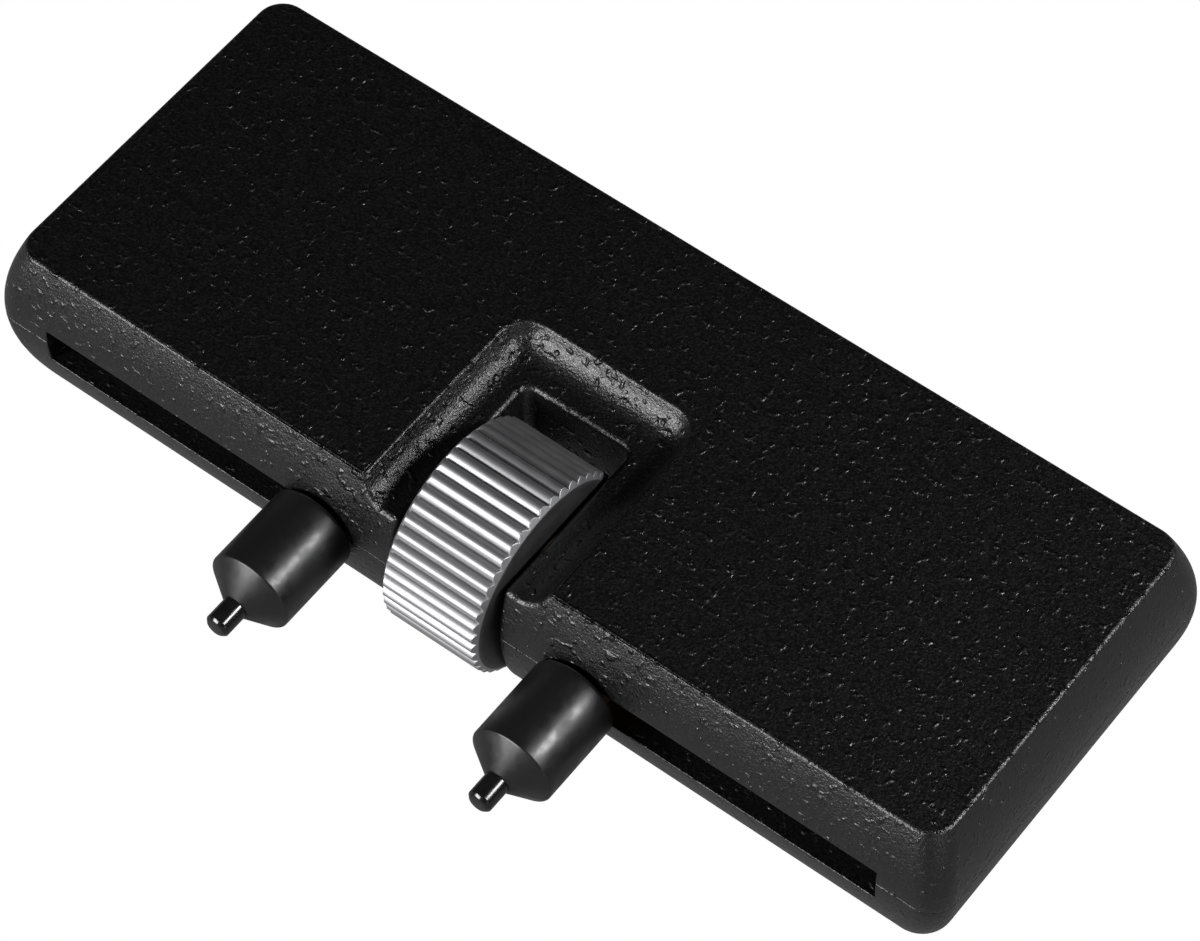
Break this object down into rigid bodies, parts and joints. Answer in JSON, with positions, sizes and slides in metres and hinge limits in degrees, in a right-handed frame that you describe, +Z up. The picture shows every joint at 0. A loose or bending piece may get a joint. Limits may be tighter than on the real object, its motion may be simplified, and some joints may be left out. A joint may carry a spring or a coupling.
{
  "type": "case back opener",
  "caption": "Flat crowned block with a knurled thumbwheel in its front edge that drives two pin-tipped claws apart or together along slots.",
  "frame": {"origin": "centre of the underside of the housing", "axes": "+X along the housing's length and the spindle, -Y out of the front wall along the claws, +Z up through the top face"},
  "size_m": [0.073, 0.0383, 0.0142],
  "materials": {
    "housing": "spark-textured black moulding, satin",
    "wheel": "bright straight-knurled rim, plain turned sides",
    "claw_steel": "blackened turned steel, satin",
    "tip_steel": "blackened hardened steel, glossy",
    "spindle_steel": "turned and threaded",
    "screw_steel": "black oxide",
    "bronze": "sintered bearing bronze",
    "brass": "milled brass"
  },
  "bodies": {
    "housing": {"upper_shell": "housing", "lower_shell": "housing", "cover_screws": "screw_steel", "spindle_bearing_left": "bronze", "spindle_bearing_right": "bronze", "end_bush_left": "bronze", "end_bush_right": "bronze"},
    "drive": {"thumbwheel": "wheel", "wheel_grub_screw": "screw_steel", "lead_screw": "spindle_steel", "thrust_washer_left": "bronze", "thrust_washer_right": "bronze"},
    "claw_slide_left": {"carriage_left": "brass", "claw_stud_left": "screw_steel", "claw_left": "claw_steel", "claw_tip_left": "tip_steel"},
    "claw_slide_right": {"carriage_right": "brass", "claw_stud_right": "screw_steel", "claw_right": "claw_steel", "claw_tip_right": "tip_steel"}
  },
  "joints": [
    {"name": "wheel_spin", "type": "hinge", "parent": "housing", "child": "drive", "pos_m": [0, -0.00895, 0.006], "axis": [1, 0, 0], "range_deg": [-180, 9000]},
    {"name": "claw_travel_left", "type": "slide", "parent": "housing", "child": "claw_slide_left", "axis": [-1, 0, 0], "range_m": [-0.0004, 0.02]},
    {"name": "claw_travel_right", "type": "slide", "parent": "housing", "child": "claw_slide_right", "axis": [1, 0, 0], "range_m": [-0.0004, 0.02]}
  ],
  "couplings": [
    {"joint": "claw_travel_left", "follows": "wheel_spin", "m_per_rad": 0.00012732},
    {"joint": "claw_travel_right", "follows": "wheel_spin", "m_per_rad": 0.00012732}
  ]
}
